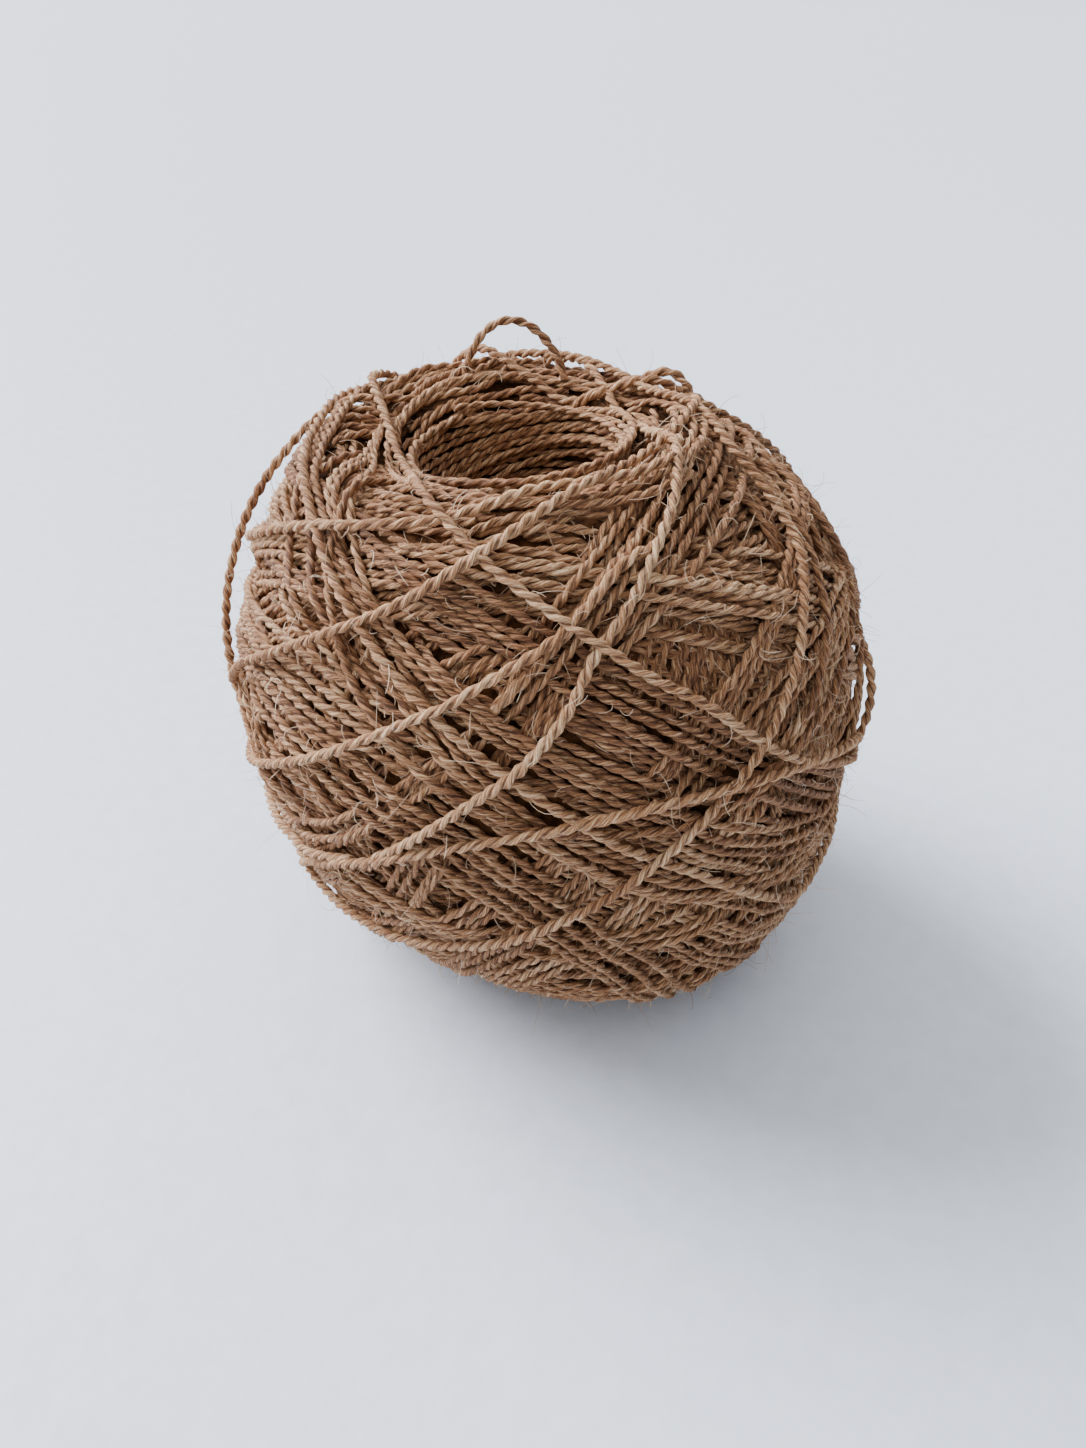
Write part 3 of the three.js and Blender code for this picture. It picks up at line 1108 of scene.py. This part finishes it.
def plied_fibre_yarn(yarn):
    """Plied plant-fibre yarn, carded, spun and twisted, not dyed: matt and hairy, with
    light and dark fibres along each ply, and painted shade where the plies meet."""
    made = blank_material("spun_and_plied_natural_fibre_yarn")
    tree = made.node_tree
    across, along, tone = (
        node(tree, "ShaderNodeAttribute", {"attribute_name": key})
        for key in ("across", "along", "tone")
    )
    parts = node(tree, "ShaderNodeSeparateXYZ",
                 links={"Vector": across.outputs["Vector"]})

    # Fibres run along the strand, so the pattern changes slowly that way
    shift = node(tree, "ShaderNodeMath", {"operation": "MULTIPLY", 1: 0.16},
                 {0: along.outputs["Fac"]})
    fibre_way = node(tree, "ShaderNodeCombineXYZ", links={
        "X": parts.outputs["X"], "Y": parts.outputs["Y"], "Z": shift,
    })
    strands = node(tree, "ShaderNodeTexNoise",
                   {"Scale": 3.0, "Detail": 3.0, "Roughness": 0.75, "Lacunarity": 2.4},
                   {"Vector": fibre_way})
    fibres = node(tree, "ShaderNodeMapRange",
                  {"From Min": 0.35, "From Max": 0.65, "To Min": 0.0, "To Max": 1.0},
                  {"Value": strands})

    # Light and dark patches about a centimetre long, and each strand's own tone
    slow = node(tree, "ShaderNodeMath", {"operation": "MULTIPLY", 1: 0.11},
                {0: along.outputs["Fac"]})
    patches = node(tree, "ShaderNodeTexNoise",
                   {"noise_dimensions": "1D", "Scale": 1.0, "Detail": 2.0},
                   {"W": slow})
    fibre_part = node(tree, "ShaderNodeMath", {"operation": "MULTIPLY", 1: 0.56},
                      {0: fibres})
    toned = node(tree, "ShaderNodeMath", {"operation": "MULTIPLY_ADD", 1: 0.30},
                 {0: tone.outputs["Fac"], 2: fibre_part})
    blend = node(tree, "ShaderNodeMath", {"operation": "MULTIPLY_ADD", 1: 0.28},
                 {0: patches, 2: toned})
    colour = node(tree, "ShaderNodeValToRGB", {"stops": [
        (0.20, (*yarn.dark, 1)), (0.42, linear("#885735")),
        (0.62, linear("#c08759")), (0.86, (*yarn.light, 1)),
    ]}, {"Fac": blend})

    # Painted shade: the colour is darkened towards the middle of the section, where the
    # plies meet and shade falls between them
    side = node(tree, "ShaderNodeMath", {"operation": "ABSOLUTE"},
                {0: parts.outputs["X"]})
    painted_crease_shade = node(tree, "ShaderNodeMapRange",
                  {"From Min": 0.0, "From Max": 0.55, "To Min": 0.85, "To Max": 0.0},
                  {"Value": side})
    with_painted_crease_shade = node(tree, "ShaderNodeMix", {
        "data_type": "RGBA", "blend_type": "MULTIPLY", 7: (*yarn.painted_crease_shade, 1),
    }, {0: painted_crease_shade, 6: colour})
    bump = node(tree, "ShaderNodeBump", {"Strength": 0.9, "Distance": 0.16 * MM},
                {"Height": fibres})
    return finish_material(
        made,
        {"Roughness": 0.7, "Specular IOR Level": 0.35, "Sheen Weight": 0.08,
         "Sheen Roughness": 0.5, "Sheen Tint": linear("#ffe2c0")},
        {"Base Color": with_painted_crease_shade.outputs[2], "Normal": bump},
    )


def packed_yarn_painted_shade():
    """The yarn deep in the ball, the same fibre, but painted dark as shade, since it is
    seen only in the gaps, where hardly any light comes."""
    made = blank_material("packed_yarn_in_shade")
    tree = made.node_tree
    where = node(tree, "ShaderNodeTexCoord")
    fibres = node(tree, "ShaderNodeTexNoise",
                  {"Scale": 900.0, "Detail": 3.0, "Roughness": 0.6},
                  {"Vector": where.outputs["Object"]})
    # Painted shade: the fibre's colour darkened to stand for the shade deep in the gaps
    colour = node(tree, "ShaderNodeValToRGB", {"stops": [
        (0.35, linear("#2e1a0c")), (0.65, linear("#5e3c22")),
    ]}, {"Fac": fibres})
    bump = node(tree, "ShaderNodeBump", {"Strength": 0.8, "Distance": 0.4 * MM},
                {"Height": fibres})
    return finish_material(
        made, {"Roughness": 0.95, "Specular IOR Level": 0.1},
        {"Base Color": colour, "Normal": bump},
    )


def loose_fibre():
    """Single spun fibres that stand out of the yarn: thin, dull and paler than it,
    because light comes through them."""
    made = blank_material("loose_spun_fibre")
    tree = made.node_tree
    tone = node(tree, "ShaderNodeAttribute", {"attribute_name": "tone"})
    colour = node(tree, "ShaderNodeValToRGB", {"stops": [
        (0.0, linear("#a77d5a")), (1.0, linear("#f1d9ba")),
    ]}, {"Fac": tone.outputs["Fac"]})
    return finish_material(made, {"Roughness": 0.6},
                           {"Base Color": colour})


def painted_sill(paint):
    """Board, filled and painted satin with a brush: pale and almost even, with faint
    brush marks in its shine."""
    made = blank_material("satin_painted_board")
    tree = made.node_tree
    where = node(tree, "ShaderNodeTexCoord")
    brushed = node(tree, "ShaderNodeTexNoise",
                   {"Scale": 260.0, "Detail": 4.0, "Roughness": 0.55},
                   {"Vector": where.outputs["Object"]})
    colour = node(tree, "ShaderNodeValToRGB", {"stops": [
        (0.3, linear("#d3dae5")), (0.7, (*paint, 1)),
    ]}, {"Fac": brushed})
    bump = node(tree, "ShaderNodeBump", {"Strength": 0.25, "Distance": 0.3 * MM},
                {"Height": brushed})
    return finish_material(
        made, {"Roughness": 0.5},
        {"Base Color": colour, "Normal": bump},
    )


# What the operators share

MADE = {}


def shared(key, maker, *given):
    """What the maker makes, made the first time that it is asked for."""
    if key not in MADE:
        MADE[key] = maker(*given)
    return MADE[key]


def wound(context):
    """The wound ball, for the strand diameter that is set."""
    radius = context.scene.yarn.diameter / MM / 2
    return shared(("winding", radius), wind_ball, radius)


def sweep_piece(context, name, lines, drawing):
    """One piece of yarn: a twisted strand along each of the lines."""
    yarn = context.scene.yarn
    diameter = yarn.diameter * drawing.girth
    colours = (*yarn.dark, *yarn.light, *yarn.painted_crease_shade)
    piece = grown(name, lines.mesh(name), shared("strand", strand_tree), {
        "Ply radius": PLY_RADIUS * diameter,
        "Ply offset": PLY_OFFSET * diameter,
        "Sides": drawing.sides,
        "Material": shared(("yarn", colours), plied_fibre_yarn, yarn),
    })
    return declare(piece)


def gathered(context, drawing, seed, tones, most=None):
    """Lines of the stretches that show of a group, in batches under a number of
    triangles."""
    yarn = context.scene.yarn
    radius, pitch = yarn.diameter / MM / 2, yarn.pitch / MM
    random = np.random.default_rng(seed)
    batches = [Lines()]
    for strand in wound(context).strands:
        if strand["group"] != drawing.group:
            continue
        own_pitch = pitch * random.uniform(0.88, 1.14)
        tone = random.uniform(*tones)
        for start, stop in strand["runs"]:
            points = strand_points(strand, start, stop, radius)
            points, along = resample(points, own_pitch / drawing.steps)
            if len(points) < 4:
                continue
            batch = batches[-1]
            if most and (batch.count + len(points)) * drawing.sides * 2 > most:
                batch = Lines()
                batches.append(batch)
            batch.add(points, **strand_values(random, along, own_pitch, tone))
    return batches


# Operators


class YARN_OT_packed_core(bpy.types.Operator):
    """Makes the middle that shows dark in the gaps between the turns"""

    bl_idname = "yarn.packed_core"
    bl_label = "Packed core"

    def execute(self, context):
        around = np.radians(np.arange(0, 360, 6.0))
        count = len(around)
        centre = np.array([0, 0, WINDING_MIDDLE])
        rings = []
        for radius, up, shift in profile_line(BODY_SECTIONS, 44):
            ring = np.stack([shift + radius * np.cos(around), radius * np.sin(around),
                             np.full(count, up)], axis=1) - centre
            far = np.linalg.norm(ring, axis=1)[:, None]
            shape = uneven_shape(ring / far)[:, None]
            rings.append(ring * (far - CORE_DEPTH + shape) / far + centre)
        for radius, up, shift in profile_line(WELL_SECTIONS, 14):
            r = radius + 1.2
            rings.append(np.stack([shift + r * np.cos(around), r * np.sin(around),
                                   np.full(count, up - 1.0)], axis=1))
        ends = [[7.0, 0, 3.0], [0.7, 0, WELL_FLOOR_UP - 1.5]]
        points = stand_up(np.vstack([*rings, ends]))
        points[:, 2] = np.maximum(points[:, 2], 0.6)
        last = (len(rings) - 1) * count
        bottom = len(rings) * count
        sides = [(k, (k + 1) % count) for k in range(count)]
        faces = [(r + k, r + n, r + count + n, r + count + k)
                 for r in range(0, last, count) for k, n in sides]
        for k, n in sides:
            faces += [(bottom, n, k), (bottom + 1, last + k, last + n)]
        mesh = bpy.data.meshes.new("packed_core")
        mesh.from_pydata((points * MM).tolist(), [], faces)
        mesh.shade_smooth()
        # The middle is painted dark, as shade, where it shows
        mesh.materials.append(packed_yarn_painted_shade())
        piece = bpy.data.objects.new("packed_core", mesh)
        context.scene.collection.objects.link(piece)
        declare(piece)
        return {"FINISHED"}


class YARN_OT_well_turns(bpy.types.Operator):
    """Lines the well with the turns that were wound first"""

    bl_idname = "yarn.well_turns"
    bl_label = "Well turns"

    def execute(self, context):
        pitch = context.scene.yarn.pitch / MM
        random = np.random.default_rng(WELL_SEED)
        lines = Lines()
        for points in well_strands(random) + floor_strands(random):
            points = stand_up(soften_rows(points, 1.5))
            points, along = resample(points, pitch / WELL_DRAWING.steps)
            tone = random.uniform(*WELL_TONES)
            lines.add(points, **strand_values(random, along, pitch, tone))
        sweep_piece(context, "well_turns", lines, WELL_DRAWING)
        return {"FINISHED"}


class YARN_OT_laid_bands(bpy.types.Operator):
    """Lays the bands of parallel turns, from the deepest to the last"""

    bl_idname = "yarn.laid_bands"
    bl_label = "Laid bands"

    def execute(self, context):
        for drawing in BAND_DRAWINGS:
            batches = gathered(context, drawing, BAND_SEED, BAND_TONES, MOST_TRIANGLES)
            for k, lines in enumerate(batches):
                sweep_piece(context, f"{drawing.group}_bands_{k + 1}", lines, drawing)
        return {"FINISHED"}


class YARN_OT_outer_turns(bpy.types.Operator):
    """Lays the single turns that cross over everything else"""

    bl_idname = "yarn.outer_turns"
    bl_label = "Outer turns"

    def execute(self, context):
        (lines,) = gathered(context, OUTER_DRAWING, OUTER_SEED, OUTER_TONES)
        sweep_piece(context, "outer_turns", lines, OUTER_DRAWING)
        return {"FINISHED"}


class YARN_OT_slack_loops(bpy.types.Operator):
    """Adds the slack loops that stand off the ball"""

    bl_idname = "yarn.slack_loops"
    bl_label = "Slack loops"

    def execute(self, context):
        yarn = context.scene.yarn
        radius, pitch = yarn.diameter / MM / 2, yarn.pitch / MM
        random = np.random.default_rng(LOOP_SEED)
        lines = Lines()
        for loop in SLACK_LOOPS:
            points = stand_up(loop_points(loop, radius))
            points, along = resample(points, pitch / LOOP_DRAWING.steps)
            lines.add(points, **strand_values(random, along, pitch, LOOP_TONE))
        sweep_piece(context, "slack_loops", lines, LOOP_DRAWING)
        return {"FINISHED"}


class YARN_OT_loose_fibres(bpy.types.Operator):
    """Grows the fine hairs that stand out of the yarn"""

    bl_idname = "yarn.loose_fibres"
    bl_label = "Loose fibres"

    def execute(self, context):
        yarn = context.scene.yarn
        radius = yarn.diameter / MM / 2
        random = np.random.default_rng(HAIR_SEED)
        roots, ways, outs = [], [], []
        for strand in wound(context).strands:
            for start, stop in strand["runs"]:
                points = strand_points(strand, start, stop, radius)
                roots.append(points)
                ways.append(np.gradient(points, axis=0))
                outs.append(strand["directions"][start:stop] @ LEAN.T)
        roots, ways, outs = np.vstack(roots), unit(np.vstack(ways)), np.vstack(outs)
        lines = Lines()
        for k in random.choice(len(roots), yarn.hairs, replace=False):
            points = hair_points(random, roots[k], ways[k], outs[k], radius)
            lines.add(points, twist=0.0, girth=np.linspace(1.0, 0.55, len(points)),
                      tone=random.uniform(0, 1))
        tree = shared("strand", strand_tree)
        piece = grown("loose_fibres", lines.mesh("loose_fibres"), tree, {
            "Ply radius": HAIR_RADIUS * MM, "Ply offset": 0.0, "Sides": 3,
            "Material": loose_fibre(),
        })
        declare(piece)
        return {"FINISHED"}


class YARN_OT_sill_and_light(bpy.types.Operator):
    """Sets the ball on a pale sill in soft window light, with the camera in place"""

    bl_idname = "yarn.sill_and_light"
    bl_label = "Sill, light and camera"

    def execute(self, context):
        scene = context.scene
        corners = ((-1, -1), (1, -1), (1, 1), (-1, 1))
        inner = [(x * SILL_FLAT, y * SILL_FLAT, 0) for x, y in corners]
        outer = [(x * SILL_REACH, y * SILL_REACH, SILL_RISE) for x, y in corners]
        slopes = [(k, 4 + k, 4 + (k + 1) % 4, (k + 1) % 4) for k in range(4)]
        mesh = bpy.data.meshes.new("sill")
        mesh.from_pydata(inner + outer, [], [(0, 1, 2, 3), *slopes])
        mesh.materials.append(painted_sill(scene.sill.paint))
        sill = bpy.data.objects.new("sill", mesh)
        scene.collection.objects.link(sill)

        window = Vector(WINDOW_WAY).normalized()
        light = bpy.data.lights.new("window", "SUN")
        light.energy = scene.sill.window
        light.angle = math.radians(WINDOW_WIDE_DEG)
        light.color = linear("#f6f8ff")[:3]
        lamp = bpy.data.objects.new("window", light)
        lamp.rotation_euler = (-window).to_track_quat("-Z", "Y").to_euler()
        scene.collection.objects.link(lamp)

        world = bpy.data.worlds.new("room")
        world.use_nodes = True
        tree = world.node_tree
        tree.nodes.clear()
        look = node(tree, "ShaderNodeTexCoord")
        facing = node(tree, "ShaderNodeVectorMath",
                      {"operation": "DOT_PRODUCT", 1: tuple(window)},
                      {0: look.outputs["Generated"]})
        glow = node(tree, "ShaderNodeMapRange",
                    {"From Min": -0.6, "From Max": 1.0, "To Min": ROOM_LEAST,
                     "To Max": ROOM_MOST},
                    {"Value": facing.outputs["Value"]})
        background = node(tree, "ShaderNodeBackground", {"Color": linear("#f2f5f9")},
                          {"Strength": glow})
        node(tree, "ShaderNodeOutputWorld",
             links={"Surface": background})
        scene.world = world

        lens = bpy.data.cameras.new("camera")
        lens.lens = CAMERA_LENS_MM
        lens.sensor_width = CAMERA_SENSOR_MM
        lens.clip_start = 0.005
        lens.clip_end = 200
        camera = bpy.data.objects.new("camera", lens)
        turned = Matrix(np.stack(camera_axes(), axis=1).tolist()).to_4x4()
        camera.matrix_world = Matrix.Translation(Vector(CAMERA_AT) * MM) @ turned
        scene.collection.objects.link(camera)
        scene.camera = camera
        return {"FINISHED"}


class YARN_PT_ball(bpy.types.Panel):
    """Sizes, colours and steps of the yarn ball"""

    bl_idname = "YARN_PT_ball"
    bl_label = "Ball of yarn"
    bl_space_type = "VIEW_3D"
    bl_region_type = "UI"
    bl_category = "Yarn"

    def draw(self, context):
        layout = self.layout
        for settings in (context.scene.yarn, context.scene.sill):
            for key in settings.__annotations__:
                layout.prop(settings, key)
        for operator in OPERATORS:
            layout.operator(operator.bl_idname)


OPERATORS = (
    YARN_OT_packed_core,
    YARN_OT_well_turns,
    YARN_OT_laid_bands,
    YARN_OT_outer_turns,
    YARN_OT_slack_loops,
    YARN_OT_loose_fibres,
    YARN_OT_sill_and_light,
)
CLASSES = (YarnSettings, SillSettings, *OPERATORS, YARN_PT_ball)


def register():
    for kind in CLASSES:
        bpy.utils.register_class(kind)
    bpy.types.Scene.yarn = PointerProperty(type=YarnSettings)
    bpy.types.Scene.sill = PointerProperty(type=SillSettings)


def unregister():
    del bpy.types.Scene.sill
    del bpy.types.Scene.yarn
    for kind in reversed(CLASSES):
        bpy.utils.unregister_class(kind)


def main():
    register()
    bpy.ops.yarn.packed_core()
    bpy.ops.yarn.well_turns()
    bpy.ops.yarn.laid_bands()
    bpy.ops.yarn.outer_turns()
    bpy.ops.yarn.slack_loops()
    bpy.ops.yarn.loose_fibres()
    bpy.ops.yarn.sill_and_light()


if __name__ == "__main__":
    main()
